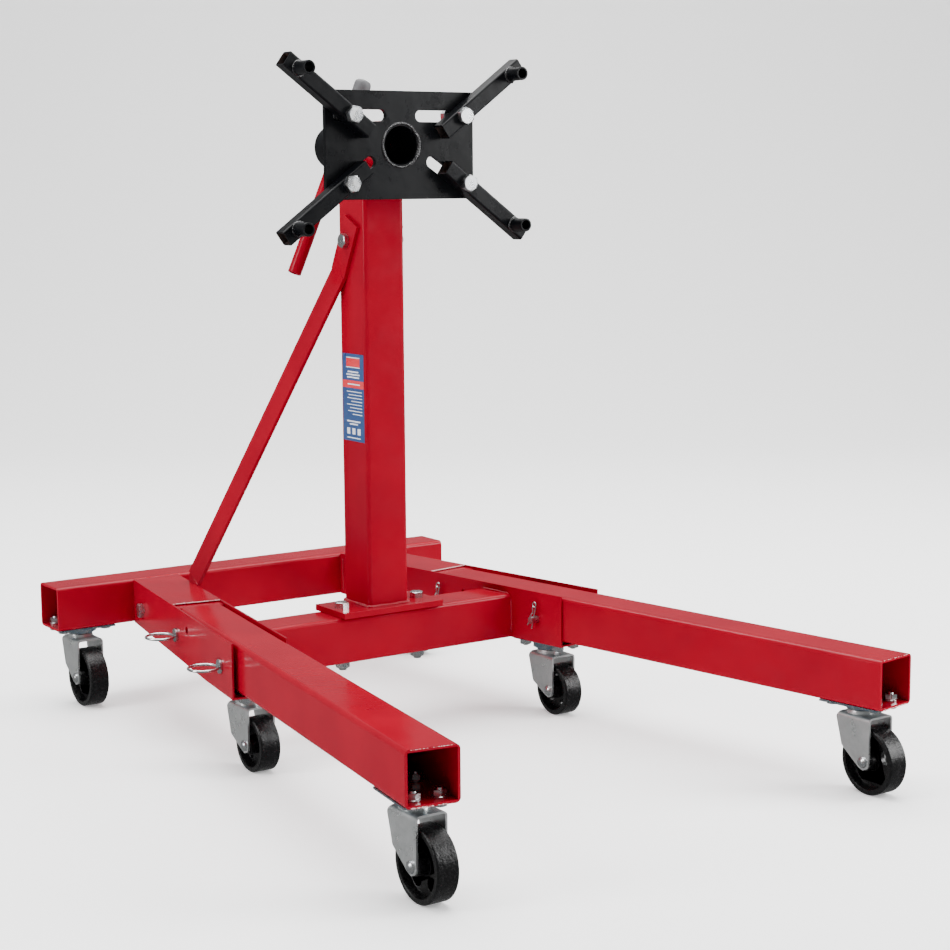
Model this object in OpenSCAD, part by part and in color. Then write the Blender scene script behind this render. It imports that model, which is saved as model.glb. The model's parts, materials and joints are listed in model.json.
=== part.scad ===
// Folding engine stand: splayed box-section base, braced post, rotating head
// with four adjustable arms, two fold-up legs and six swivel castors.
// Millimetres. X to the right, Y to the back, Z up; the origin is on the floor,
// under the middle of the stand. Legs and mounting plate face -Y.

/* [Base frame] */
// Angle of each leg from straight ahead, degrees
splay = 9.2; // [7:0.1:11]
// Half distance between the leg centre lines at the rear cross tube
gauge_half = 208; // [190:1:230]
// Length of the rear cross tube
rear_tube_length = 780; // [740:5:820]
// Outside size of the square leg and cross tubes
tube_size = 75; // [74:0.5:76]
// Wall of the cross tubes, the post and the legs
tube_wall = 4; // [3:0.5:5]
// Length of each side channel, along the leg
channel_length = 560; // [540:5:600]
// Length of the closed top of each side channel
closed_top_length = 240; // [200:1:242]
// Depth of the side channel at its front
channel_front_depth = 86; // [85:0.5:90]
// Extra width of the side channel at its open front
channel_flare = 6; // [0:1:8]
// Distance from the rear cross tube to the front face of the front cross tube
front_tube_reach = 444; // [430:1:450]
// How far the front cross tube lies below the leg tops
front_tube_drop = 12; // [8:1:14]

/* [Legs] */
// Distance along the leg from the rear cross tube to the open front end
leg_reach = 1189; // [1150:1:1240]
// Distance along the leg to the pivot pin
pivot_reach = 266; // [264:1:270]
// Distance along the leg to the lock pin
lock_reach = 503; // [495:1:510]
// Distance along the leg to the empty prop hole
prop_reach = 326; // [320:1:332]
// Diameter of the ring pins
pin_diameter = 12; // [10:1:12]

/* [Post and braces] */
// Width of the post, across the stand
post_width = 75; // [70:1:80]
// Depth of the post, front to back
post_depth = 80; // [75:1:85]
// Distance from the rear cross tube to the post's front face
post_reach = 437; // [432:1:440]
// Width of the post's base plate
base_plate_width = 188; // [180:1:200]
// Depth of the post's base plate
base_plate_depth = 93; // [88:1:98]
// Width of the flat-bar braces
brace_width = 42; // [36:1:46]
// Height of the bolt through the post and the brace tops
brace_bolt_height = 797; // [780:1:810]

/* [Head] */
// Height of the head's turning axis
head_height = 945; // [930:1:960]
// Width of the mounting plate
plate_width = 270; // [260:1:290]
// Height of the mounting plate
plate_height = 166; // [160:1:180]
// Thickness of the mounting plate
plate_thickness = 8; // [6:1:10]
// Distance from the rear cross tube to the mounting plate's front face
plate_reach = 490; // [486:1:496]
// Outside diameter of the turning tube
head_tube_diameter = 70; // [66:1:72]
// Tilt of the turning handle from upright, degrees
handle_tilt = 24; // [0:1:40]

/* [Arms] */
// Outside size of the square arm tube
arm_size = 25; // [22:1:25]
// Distance from an arm's bolt to its sleeve
arm_reach = 113; // [100:1:125]
// Angle of the arms from level, degrees
arm_angle = 36; // [33:1:38]
// Outside diameter of the arm sleeves
sleeve_diameter = 21; // [18:1:22]
// Inside diameter of the arm sleeves
sleeve_bore = 15; // [12:1:16]

/* [Castors] */
// Height of the rear and leg castors
castor_height = 136; // [132:1:140]
// Diameter of the rear and leg wheels
wheel_diameter = 100; // [96:1:102]
// Diameter of the two middle wheels
mid_wheel_diameter = 85; // [80:1:88]
// Width of the wheel treads
wheel_width = 33; // [28:1:34]
// Distance along the leg to the leg castors
leg_castor_reach = 1130; // [1100:1:1132]
// Distance along the channel to the middle castors
mid_castor_reach = 492; // [488:1:496]

/* [Hidden] */

$fn = 64;
RED = [0.70, 0.02, 0.09];
BLACK = [0.10, 0.10, 0.11];
ZINC = [0.76, 0.78, 0.80];
IRON = [0.08, 0.08, 0.08];
GREY = [0.32, 0.32, 0.33];
EPS = 1;                                   // how far a cut runs past a face
FAR = 1500;                                // longer than the stand
RUN = 0.05;                                // radial running clearance of pins and axles

// Castors
PLATE_T = 3;                               // castor top plate
PLATE_L = 100;
PLATE_W = 70;
CASTOR_BOLT_X = 18;                        // half pitch across the plate
CASTOR_BOLT_Y = 38;                        // half pitch along the plate
TRAIL = 28;                                // wheel axle behind the kingpin
KINGPIN_R = 8;
KINGPIN_HEAD = [12, 4];                    // radius and height, under the crown
BOSS_R = 27;                               // pressed boss under the plate
RACE_R = 22;                               // bearing race below the boss
RACE_T = 6;
RACE_GAP = 0.5;
AXLE_R = 5;
AXLE_HEAD = [8.5, 3];                      // radius and height
AXLE_CAP = [6, 5];
AXLE_END = 9;                              // axle past the cheek, on the nut side
AXLE_NUT_T = 7;
FORK_T = 3;
FORK_GAP = 41;                             // between the fork's cheeks
FORK_FRONT = 12;                           // cheek past the axle
FORK_REAR = 27;                            // crown behind the kingpin
FORK_WAIST = [15, 50];                     // cheek corner: behind the kingpin, below the crown
FORK_CHAMFER = [5, 8];
CROWN_ABOVE = 14;                          // crown above the wheel
HUB_W = 39;
wheel_r = wheel_diameter / 2;
mid_wheel_r = mid_wheel_diameter / 2;

// Base frame
leg_bottom = castor_height;
top_z = leg_bottom + tube_size;            // tops of legs, channels and rear tube
front_reach = leg_castor_reach * cos(splay) + TRAIL + wheel_r;
face_y = (front_reach - tube_size) / 2;    // front face of the rear cross tube
CHANNEL_WALL = 3;
TUBE_CORNER = 7;                           // outside corner radius of the square tubes
CHANNEL_BEHIND = 20;                       // stock cut back flush with the rear tube
SIDE_GAP = 1;                              // leg to channel wall, at the rear
channel_half = tube_size / 2 + SIDE_GAP + CHANNEL_WALL;
DEPTH_FLAT = 420;                          // the channel is full depth from here on
channel_bottom = top_z - channel_front_depth;
REAR_CASTOR_IN = 55;                       // rear castor from its tube's end
rear_castor_x = rear_tube_length / 2 - REAR_CASTOR_IN;
rear_castor_y = face_y + tube_size / 2;

// Leg pins
PIN_DROP = 46;                             // pin axis below the closed channel top
PROP_RISE = 19;                            // prop hole above the pin axis
pin_r = pin_diameter / 2;
pin_z = top_z - PIN_DROP;
EAR_R = 28;                                // leg's rounded rear ear
LEG_START = 6;                             // leg bottom starts this far behind the pivot
LEG_TOP_START = 24;                        // and its top this far
LEG_DROP = 3;                              // leg tops below the closed channel top
RING_R = 23;                               // pin ring, to the middle of its wire
RING_WIRE = 2;
PIN_HEAD_R = 11;
PIN_HEAD_T = 3;
PIN_HEAD_GAP = 0.5;
PIN_TAIL = 15;                             // pin end past the inner channel wall
CLIP_R = 1.3;                              // wire of the R clips
CLIP_SEAT = 8;                             // clip hole past the inner channel wall
CLIP_TILT = 14;
CLIP_FLAT = 2.3;                           // thickness of the bowed leg and the loop
CLIP_LOOP = [3.6, 26];                     // centre of the clip's loop
CLIP_LOOP_R = 4.2;
LOCK_RUN = 0.5;                            // lock pin in the leg's notch, radial
CLIP_LEG = 16;                             // straight leg below the pin's axis
CLIP_TIP = [2, -14];                       // flared tip of the bowed leg
CLIP_BOW = 4;                              // half the straight of the bow
CLIP_NECK = 13;                            // where the bow turns into the loop
CLIP_SHOULDER = 24;
NOTCH_EXTRA = 3;                           // extra width for the lock pin's arc

// Fasteners: radius, width across flats, head height, nut height, washer radius
M10 = [5, 17, 4.5, 8, 10];
M14 = [7, 21, 9, 12, 14];
M16 = [8, 24, 10, 13, 15];
WASHER_T = 2.5;
BOLT_TAIL = 4;                             // bolt past its nut
SEAT = 0.05;                               // gap left between seated pieces
BOLT_RUN = 0.5;                            // castor bolt in its hole, radial

// Post and braces
front_tube_top = top_z - front_tube_drop;
front_tube_y = face_y - front_tube_reach;  // front face of the front cross tube
base_bolt_y = front_tube_y + tube_size / 2;
BASE_BOLT_X = 72;
BASE_PLATE_T = 10;
post_front = face_y - post_reach;
post_foot = front_tube_top + BASE_PLATE_T;
BRACE_T = 6;
BRACE_END = 35;                            // flat brace end past its top bolt
BRACE_FOOT = 27;                           // and past its lower bolt
BRACE_BACK = 47;                           // top bolt behind the post's front face
BRACE_FLAT = 60;                           // flat length towards the other end
BRACE_LOW_REACH = 63;                      // lower bolt, along the channel
brace_top_y = post_front + BRACE_BACK;
brace_low_z = pin_z + 2;
brace_top = [post_width / 2 + BRACE_T / 2, brace_top_y, brace_bolt_height];
brace_low_off = -(channel_half + BRACE_T / 2);
brace_low = [
  gauge_half + BRACE_LOW_REACH * sin(splay) + brace_low_off * cos(splay),
  face_y - BRACE_LOW_REACH * cos(splay) + brace_low_off * sin(splay),
  brace_low_z
];
brace_run = brace_low - brace_top;
brace_top_tilt = atan2(brace_run[1], -brace_run[2]);
brace_low_tilt = atan2(brace_run[1] * cos(splay) - brace_run[0] * sin(splay), -brace_run[2]);
BEND_LAP = 2;                              // straight run carried into each end flat
brace_bend_top = brace_top + BRACE_FLAT * [0, sin(brace_top_tilt), -cos(brace_top_tilt)];
brace_bend_low = brace_low + BRACE_FLAT * [
  sin(brace_low_tilt) * sin(splay), -sin(brace_low_tilt) * cos(splay), cos(brace_low_tilt)
];
bend_run = brace_bend_low - brace_bend_top;
brace_mid = [
  bend_run[0] * cos(splay / 2) + bend_run[1] * sin(splay / 2),
  bend_run[1] * cos(splay / 2) - bend_run[0] * sin(splay / 2),
  bend_run[2]
];

// Head
plate_front = face_y - plate_reach;
plate_back = plate_front + plate_thickness;
HOUSING_R = 39;
COLLAR_R = 42;
HOUSING_LENGTH = 140;
HEAD_GAP = 4;                              // plate to housing
housing_front = plate_back + HEAD_GAP;
housing_back = housing_front + HOUSING_LENGTH;
tube_r = head_tube_diameter / 2;
TUBE_BORE_R = 30;
TUBE_OVERHANG = 56;                        // tube past the housing's back
tube_back = housing_back + TUBE_OVERHANG;
HEAD_RUN = 0.1;                            // radial clearance of the turning tube
COLLAR_T = 14;
COLLAR_GAP = 1;                            // housing to collar
collar_front = housing_back + COLLAR_GAP;
HANDLE_INSET = 22;                         // handle ahead of the tube's back end
handle_y = tube_back - HANDLE_INSET;
HANDLE_R = 11;
HANDLE_BORE_R = 8.5;
HANDLE_DOWN = 220;                         // handle end below the head axis
HANDLE_UP = 113;
GRIP_START = tube_r + 3;
GRIP_R = 14;
GRIP_END = 5;                              // closed end of the grip
INDEX_R = 7;
INDEX_HOLES = 8;
INDEX_HOLE_R = 7.6;
index_y = (housing_front + housing_back) / 2;
INDEX_TIP = tube_r + 2.5;                  // parked tip of the index pin
INDEX_BOSS_R = 13;
INDEX_BOSS_END = 56;
BOSS_BED = 5;                              // boss let into the housing
INDEX_HEAD_X = 76;                         // parked pin's shoulder

// Arms: slot ends and bolt places, measured from the head axis
SLOT_R = 9;
TOP_SLOT = [[36, 45], [112, 45]];
LOW_SLOT = [[56, -26], [118, -66]];
TOP_BOLT = [101, 45];
LOW_BOLT = [107, -58.9];
ARM_WALL = 2.5;
ARM_CORNER = 3;
ARM_INNER = 42;                            // arm past its bolt, towards the middle
ARM_OUTER = 24;                            // arm past its sleeve
ARM_GAP = 0.3;
SLEEVE_OUT = 30;                           // sleeve in front of the arm
arm_back = plate_front - ARM_GAP;
arm_front = arm_back - arm_size;

// The point where a line from p touches a circle, on the side given by s
function tangent(p, c, r, s) =
  let (d = c - p, l = norm(d), a = atan2(d[1], d[0]) + s * asin(r / l), t = sqrt(l * l - r * r))
  p + t * [cos(a), sin(a)];

function along(reach, off = 0) = [
  gauge_half + reach * sin(splay) + off * cos(splay),
  face_y - reach * cos(splay) + off * sin(splay)
];

// Local frames ------------------------------------------------------------

// Right leg's frame: X outwards, -Y along the leg, from the rear cross tube
module leg_frame() {
  translate([gauge_half, face_y, 0])
    rotate([0, 0, splay])
      children();
}

module left() {
  mirror([1, 0, 0])
    children();
}

module both_sides() {
  children();
  left() children();
}

module x_cylinder(r, x0, x1) {
  translate([x0, 0, 0])
    rotate([0, 90, 0])
      cylinder(r = r, h = x1 - x0);
}

module y_cylinder(r, y0, y1) {
  translate([0, y1, 0])
    rotate([90, 0, 0])
      cylinder(r = r, h = y1 - y0);
}

// Side outline [y, z] carried across X
module side_extrude(x0, x1) {
  translate([x0, 0, 0])
    rotate([90, 0, 90])
      linear_extrude(x1 - x0)
        children();
}

// Fasteners ---------------------------------------------------------------

module hex(size, h) {
  cylinder(d = size[1] / cos(30), h = h, $fn = 6);
}

// Bolt hanging from z = 0: head above, shank below
module bolt(size, length) {
  hex(size, size[2]);
  translate([0, 0, -length])
    cylinder(r = size[0], h = length + EPS);
}

// Washer and nut below z = 0, on a bolt's shank, as two pieces
module nut(size) {
  bottom = -WASHER_T - SEAT - size[3];
  difference() {
    union() {
      translate([0, 0, -WASHER_T])
        cylinder(r = size[4], h = WASHER_T);
      translate([0, 0, bottom])
        hex(size, size[3]);
    }
    translate([0, 0, bottom - EPS])
      cylinder(r = size[0] + RUN, h = 2 * EPS - bottom);
  }
}

// Flanged nut below z = 0, all in one piece
module flange_nut(size) {
  difference() {
    union() {
      translate([0, 0, -WASHER_T])
        cylinder(r = size[4], h = WASHER_T);
      translate([0, 0, -size[3] - WASHER_T])
        hex(size, size[3] + EPS);
    }
    translate([0, 0, -size[3] - WASHER_T - EPS])
      cylinder(r = size[0] + RUN, h = size[3] + WASHER_T + 2 * EPS);
  }
}

module castor_bolt_places() {
  for (x = [-CASTOR_BOLT_X, CASTOR_BOLT_X])
    for (y = [-CASTOR_BOLT_Y, CASTOR_BOLT_Y])
      translate([x, y, 0])
        children();
}

module castor_bolt_holes(z) {
  translate([0, 0, z - EPS])
    castor_bolt_places()
      cylinder(r = M10[0] + BOLT_RUN, h = tube_wall + PLATE_T + EPS);
}

// Base frame --------------------------------------------------------------

// Rectangle with rounded corners, from the origin
module rounded_rect(size, r) {
  translate([r, 0])
    square([size[0] - 2 * r, size[1]]);
  translate([0, r])
    square([size[0], size[1] - 2 * r]);
  for (x = [r, size[0] - r])
    for (y = [r, size[1] - r])
      translate([x, y])
        circle(r = r);
}

// Section of a square tube, from the origin
module tube_section(size, wall, corner) {
  difference() {
    rounded_rect(size, corner);
    translate([wall, wall])
      square(size - 2 * [wall, wall]);
  }
}

module cross_tube(half_length) {
  side_extrude(-half_length, half_length)
    tube_section([tube_size, tube_size], tube_wall, TUBE_CORNER);
}

module rear_cross_tube() {
  color(RED)
    difference() {
      translate([0, face_y, leg_bottom])
        cross_tube(rear_tube_length / 2);
      both_sides()
        translate([rear_castor_x, rear_castor_y, leg_bottom])
          rotate([0, 0, 90])
            castor_bolt_holes(0);
    }
}

module channel_plan(inset) {
  polygon([
    [-channel_half + inset, CHANNEL_BEHIND],
    [-channel_half + inset, -channel_length - (inset > 0 ? EPS : 0)],
    [channel_half + channel_flare - inset, -channel_length - (inset > 0 ? EPS : 0)],
    [channel_half - inset, 0],
    [channel_half - inset, CHANNEL_BEHIND]
  ]);
}

module channel_outside() {
  polygon([
    [CHANNEL_BEHIND, top_z], [-channel_length, top_z], [-channel_length, channel_bottom],
    [-DEPTH_FLAT, channel_bottom], [0, leg_bottom], [CHANNEL_BEHIND, leg_bottom]
  ]);
}

module channel_inside() {
  w = CHANNEL_WALL;
  back = CHANNEL_BEHIND + EPS;
  polygon([
    [back, top_z - w], [-closed_top_length, top_z - w], [-closed_top_length, top_z + EPS],
    [-channel_length - EPS, top_z + EPS], [-channel_length - EPS, channel_bottom + w],
    [-DEPTH_FLAT, channel_bottom + w], [0, leg_bottom + w], [back, leg_bottom + w]
  ]);
}

module side_channel() {
  half = channel_half + channel_flare;
  color(RED)
    difference() {
      leg_frame()
        difference() {
          intersection() {
            side_extrude(-half, half)
              channel_outside();
            linear_extrude(top_z + EPS)
              channel_plan(0);
          }
          intersection() {
            side_extrude(-half, half)
              channel_inside();
            linear_extrude(top_z + 2 * EPS)
              channel_plan(CHANNEL_WALL);
          }
          for (reach = [pivot_reach, lock_reach])
            translate([0, -reach, pin_z])
              x_cylinder(pin_r + 2 * RUN, -half - EPS, half + EPS);
          translate([0, -prop_reach, pin_z + PROP_RISE])
            x_cylinder(pin_r + LOCK_RUN, -half - EPS, half + EPS);
          translate([0, -BRACE_LOW_REACH, brace_low_z])
            x_cylinder(M14[0] + RUN, -half - EPS, half + EPS);
          translate([0, -mid_castor_reach, 0])
            castor_bolt_holes(channel_bottom);
        }
      translate([-FAR / 2, face_y, 0])
        cube([FAR, FAR, FAR]);
    }
}

module left_side_channel() {
  left() side_channel();
}

module right_side_channel() {
  side_channel();
}

module front_cross_tube() {
  color(RED)
    difference() {
      translate([0, front_tube_y, front_tube_top - tube_size])
        cross_tube(gauge_half + tube_size);
      both_sides()
        leg_frame()
          translate([-channel_half, -FAR, 0])
            cube([FAR, 2 * FAR, FAR]);
      both_sides()
        translate([BASE_BOLT_X, base_bolt_y, front_tube_top - tube_size - EPS])
          cylinder(r = M14[0] + RUN, h = tube_size + 2 * EPS);
    }
}

// Post --------------------------------------------------------------------

module post_base_plate() {
  color(RED)
    difference() {
      translate([-base_plate_width / 2, base_bolt_y - base_plate_depth / 2, front_tube_top])
        cube([base_plate_width, base_plate_depth, BASE_PLATE_T]);
      both_sides()
        translate([BASE_BOLT_X, base_bolt_y, front_tube_top - EPS])
          cylinder(r = M14[0] + RUN, h = BASE_PLATE_T + 2 * EPS);
    }
}

module post_tube() {
  color(RED)
    difference() {
      translate([-post_width / 2, post_front, post_foot])
        linear_extrude(head_height - post_foot)
          tube_section([post_width, post_depth], tube_wall, TUBE_CORNER);
      translate([0, 0, head_height])
        y_cylinder(HOUSING_R, post_front - EPS, post_front + post_depth + EPS);
      translate([0, brace_top_y, brace_bolt_height])
        x_cylinder(M14[0] + RUN, -post_width, post_width);
    }
}

module base_bolts() {
  color(ZINC)
    both_sides()
      translate([BASE_BOLT_X, base_bolt_y, post_foot])
        bolt(M14, tube_size + BASE_PLATE_T + WASHER_T + M14[3] + BOLT_TAIL);
}

module base_nuts() {
  color(ZINC)
    both_sides()
      translate([BASE_BOLT_X, base_bolt_y, front_tube_top - tube_size])
        nut(M14);
}

// Braces ------------------------------------------------------------------

module brace_strip(z0, z1) {
  translate([-BRACE_T / 2, -brace_width / 2, z0])
    cube([BRACE_T, brace_width, z1 - z0]);
}

module brace_top_frame() {
  translate(brace_top)
    rotate([brace_top_tilt, 0, 0])
      children();
}

module brace_low_frame() {
  translate(brace_low)
    rotate([0, 0, splay])
      rotate([brace_low_tilt, 0, 0])
        children();
}

module brace_mid_frame() {
  translate(brace_bend_top)
    rotate([0, 0, splay / 2])
      rotate([atan2(brace_mid[1], -brace_mid[2]), 0, 0])
        rotate([0, -asin(brace_mid[0] / norm(brace_mid)), 0])
          children();
}

module brace() {
  color(RED)
    difference() {
      union() {
        brace_top_frame()
          brace_strip(-BRACE_FLAT, BRACE_END);
        brace_mid_frame()
          brace_strip(-norm(brace_mid) - BEND_LAP, BEND_LAP);
        brace_low_frame()
          brace_strip(-BRACE_FOOT, BRACE_FLAT);
      }
      translate([0, brace_top_y, brace_bolt_height])
        x_cylinder(M14[0] + RUN, 0, post_width);
      leg_frame()
        translate([0, -BRACE_LOW_REACH, brace_low_z])
          x_cylinder(M14[0] + RUN, -2 * channel_half, 0);
    }
}

module left_brace() {
  left() brace();
}

module right_brace() {
  brace();
}

module brace_bolts() {
  span = post_width + 2 * BRACE_T;
  color(ZINC) {
    translate([-span / 2, brace_top_y, brace_bolt_height])
      rotate([0, -90, 0])
        bolt(M14, span + WASHER_T + M14[3] + BOLT_TAIL);
    both_sides()
      leg_frame()
        translate([channel_half + channel_flare * BRACE_LOW_REACH / channel_length, 0, 0])
          translate([0, -BRACE_LOW_REACH, brace_low_z])
            rotate([0, 90, 0])
              bolt(M14, 2 * channel_half + BRACE_T + WASHER_T + M14[3] + BOLT_TAIL);
  }
}

module brace_nuts() {
  color(ZINC) {
    translate([post_width / 2 + BRACE_T, brace_top_y, brace_bolt_height])
      rotate([0, -90, 0])
        nut(M14);
    both_sides()
      leg_frame()
        translate([-channel_half - BRACE_T, -BRACE_LOW_REACH, brace_low_z])
          rotate([0, 90, 0])
            nut(M14);
  }
}

// Leg pins ----------------------------------------------------------------

// Ring pin along local -X, its head on the outer channel wall
module ring_pin(reach) {
  face = channel_half + channel_flare * reach / channel_length;
  color(ZINC)
    leg_frame()
      translate([0, -reach, pin_z])
        difference() {
          union() {
            x_cylinder(pin_r, -channel_half - PIN_TAIL, face + PIN_HEAD_T);
            x_cylinder(PIN_HEAD_R, face + PIN_HEAD_GAP, face + PIN_HEAD_GAP + PIN_HEAD_T);
            translate([face + PIN_HEAD_T + RING_R + RING_WIRE / 2, 0, 0])
              rotate_extrude()
                translate([RING_R, 0])
                  circle(r = RING_WIRE, $fn = 32);
          }
          translate([-channel_half - CLIP_SEAT, 0, 0])
            rotate([CLIP_TILT, 0, 0])
              translate([0, 0, -2 * pin_r])
                cylinder(r = CLIP_R + RUN, h = 4 * pin_r);
        }
}

module pivot_pins() {
  both_sides() ring_pin(pivot_reach);
}

module lock_pins() {
  both_sides() ring_pin(lock_reach);
}

// R clip in its own plane: straight leg up Z through the pin, bowed leg, loop
module r_clip() {
  bow = pin_r + 2 * CLIP_R;
  wire = [
    [bow, 0] + CLIP_TIP, [bow, -CLIP_BOW], [bow, CLIP_BOW],
    [CLIP_LOOP[0], CLIP_NECK], [CLIP_LOOP[0] + CLIP_LOOP_R, CLIP_SHOULDER]
  ];
  back = [wire[4], wire[3], wire[2], wire[1], wire[0]];
  translate([0, 0, -CLIP_LEG])
    cylinder(r = CLIP_R, h = CLIP_LEG + CLIP_LOOP[1]);
  side_extrude(-CLIP_FLAT / 2, CLIP_FLAT / 2) {
    polygon(concat([for (p = wire) p - [CLIP_R, 0]], [for (p = back) p + [CLIP_R, 0]]));
    translate(CLIP_LOOP)
      difference() {
        circle(r = CLIP_LOOP_R + CLIP_R);
        circle(r = CLIP_LOOP_R - CLIP_R);
      }
  }
}

module pin_clips() {
  color(ZINC)
    both_sides()
      leg_frame()
        for (reach = [pivot_reach, lock_reach])
          translate([-channel_half - CLIP_SEAT, -reach, pin_z])
            rotate([CLIP_TILT, 0, 0])
              r_clip();
}

// Legs --------------------------------------------------------------------

module leg_tube() {
  half = tube_size / 2;
  low = leg_bottom - LEG_DROP;
  high = low + tube_size;
  inner = tube_size - 2 * tube_wall;
  start = pivot_reach - LEG_START;
  slot = pin_r + LOCK_RUN;
  color(RED)
    leg_frame()
      difference() {
        union() {
          translate([-half, -start, low])
            rotate([90, 0, 0])
              linear_extrude(leg_reach - start)
                rounded_rect([tube_size, tube_size], TUBE_CORNER);
          translate([0, -pivot_reach, pin_z])
            x_cylinder(EAR_R, -half, half);
          side_extrude(-half, half)
            polygon([
              [LEG_TOP_START - pivot_reach, high], [-pivot_reach, high],
              [-pivot_reach, pin_z], [EAR_R - pivot_reach, pin_z]
            ]);
        }
        translate([-inner / 2, -leg_reach - EPS, low + tube_wall])
          cube([inner, leg_reach, inner]);
        translate([-inner / 2, -start - EPS, 0])
          cube([inner, tube_size, high - tube_wall]);
        translate([0, -pivot_reach, pin_z])
          x_cylinder(pin_r + RUN, -half - EPS, half + EPS);
        translate([0, -lock_reach, pin_z])
          x_cylinder(slot, -half - EPS, half + EPS);
        translate([-half - EPS, -lock_reach - slot, low - EPS])
          cube([tube_size + 2 * EPS, 2 * slot + NOTCH_EXTRA, pin_z - low + EPS]);
        translate([0, -leg_castor_reach, 0])
          castor_bolt_holes(low);
      }
}

module left_leg_tube() {
  left() leg_tube();
}

module right_leg_tube() {
  leg_tube();
}

// Head --------------------------------------------------------------------

module head_housing() {
  color(RED)
    difference() {
      translate([0, 0, head_height])
        union() {
          y_cylinder(HOUSING_R, housing_front, housing_back);
          translate([0, index_y, 0])
            x_cylinder(INDEX_BOSS_R, HOUSING_R - BOSS_BED, INDEX_BOSS_END);
        }
      translate([0, 0, head_height])
        y_cylinder(tube_r + HEAD_RUN, housing_front - EPS, housing_back + EPS);
      translate([0, index_y, head_height])
        x_cylinder(INDEX_R + RUN, 0, INDEX_BOSS_END + EPS);
    }
}

// Slot outline, on the plate's face
module slot(ends) {
  run = ends[1] - ends[0];
  translate(ends[0])
    rotate(atan2(run[1], run[0])) {
      translate([0, -SLOT_R])
        square([norm(run), 2 * SLOT_R]);
      circle(r = SLOT_R);
      translate([norm(run), 0])
        circle(r = SLOT_R);
    }
}

module head_plate() {
  color(BLACK)
    translate([0, plate_back, head_height])
      rotate([90, 0, 0])
        linear_extrude(plate_thickness)
          difference() {
            square([plate_width, plate_height], center = true);
            circle(r = tube_r);
            both_sides() {
              slot(TOP_SLOT);
              slot(LOW_SLOT);
            }
          }
}

module handle_frame() {
  translate([0, handle_y, head_height])
    rotate([0, handle_tilt, 0])
      children();
}

module head_tube() {
  color(BLACK)
    difference() {
      translate([0, 0, head_height])
        y_cylinder(tube_r, plate_front, tube_back);
      translate([0, 0, head_height])
        y_cylinder(TUBE_BORE_R, plate_front - EPS, tube_back + EPS);
      for (k = [0 : INDEX_HOLES - 1])
        translate([0, index_y, head_height])
          rotate([0, k * 360 / INDEX_HOLES, 0])
            x_cylinder(INDEX_HOLE_R, 0, 2 * tube_r);
      handle_frame()
        translate([0, 0, -2 * tube_r])
          cylinder(r = HANDLE_R + RUN, h = 4 * tube_r);
    }
}

module head_collar() {
  color(BLACK)
    translate([0, 0, head_height])
      difference() {
        y_cylinder(COLLAR_R, collar_front, collar_front + COLLAR_T);
        y_cylinder(tube_r, collar_front - EPS, collar_front + COLLAR_T + EPS);
      }
}

module index_pin() {
  color(ZINC)
    translate([0, index_y, head_height]) {
      x_cylinder(INDEX_R, INDEX_TIP, INDEX_HEAD_X + EPS);
      x_cylinder(PIN_HEAD_R, INDEX_HEAD_X, INDEX_HEAD_X + PIN_HEAD_T);
      translate([INDEX_HEAD_X + PIN_HEAD_T + RING_R / 2 + RING_WIRE / 2, 0, 0])
        rotate([90, 0, 0])
          rotate_extrude()
            translate([RING_R / 2, 0])
              circle(r = RING_WIRE, $fn = 32);
    }
}

module handle_bar() {
  color(RED)
    handle_frame()
      difference() {
        translate([0, 0, -HANDLE_DOWN])
          cylinder(r = HANDLE_R, h = HANDLE_DOWN + HANDLE_UP);
        translate([0, 0, -HANDLE_DOWN - EPS])
          cylinder(r = HANDLE_BORE_R, h = HANDLE_DOWN + HANDLE_UP + 2 * EPS);
      }
}

module handle_grip() {
  color(GREY)
    handle_frame()
      difference() {
        translate([0, 0, GRIP_START])
          cylinder(r = GRIP_R, h = HANDLE_UP + GRIP_END - GRIP_START);
        translate([0, 0, GRIP_START - EPS])
          cylinder(r = HANDLE_R, h = HANDLE_UP - GRIP_START + EPS);
      }
}

// Arms --------------------------------------------------------------------

// Right-hand arm's frame: origin at its bolt, X along the arm, Y to the back
module arm_frame(place, angle) {
  translate([place[0], 0, head_height + place[1]])
    rotate([0, -angle, 0])
      children();
}

module arm() {
  length = ARM_INNER + arm_reach + ARM_OUTER;
  color(BLACK)
    difference() {
      translate([0, arm_front, -arm_size / 2])
        side_extrude(-ARM_INNER, length - ARM_INNER)
          tube_section([arm_size, arm_size], ARM_WALL, ARM_CORNER);
      y_cylinder(M16[0] + RUN, arm_front - EPS, arm_back + EPS);
      translate([arm_reach, 0, 0])
        y_cylinder(sleeve_diameter / 2, arm_front - EPS, arm_back + EPS);
    }
}

module sleeve() {
  color(BLACK)
    translate([arm_reach, 0, 0])
      difference() {
        y_cylinder(sleeve_diameter / 2, arm_front - SLEEVE_OUT, arm_back);
        y_cylinder(sleeve_bore / 2, arm_front - SLEEVE_OUT - EPS, arm_back + EPS);
      }
}

// Bolt with its washer and nut behind the plate
module arm_bolt(place) {
  front = arm_front - ARM_GAP;
  back = plate_back + ARM_GAP;
  color(ZINC)
    translate([place[0], 0, head_height + place[1]])
      rotate([90, 0, 0]) {
        translate([0, 0, -front])
          bolt(M16, back - front + WASHER_T + M16[3] + BOLT_TAIL);
        translate([0, 0, -back])
          nut(M16);
      }
}

module arm_top_left() {
  left() arm_frame(TOP_BOLT, arm_angle) arm();
}

module arm_top_right() {
  arm_frame(TOP_BOLT, arm_angle) arm();
}

module arm_bottom_left() {
  left() arm_frame(LOW_BOLT, -arm_angle) arm();
}

module arm_bottom_right() {
  arm_frame(LOW_BOLT, -arm_angle) arm();
}

module sleeve_top_left() {
  left() arm_frame(TOP_BOLT, arm_angle) sleeve();
}

module sleeve_top_right() {
  arm_frame(TOP_BOLT, arm_angle) sleeve();
}

module sleeve_bottom_left() {
  left() arm_frame(LOW_BOLT, -arm_angle) sleeve();
}

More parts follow.
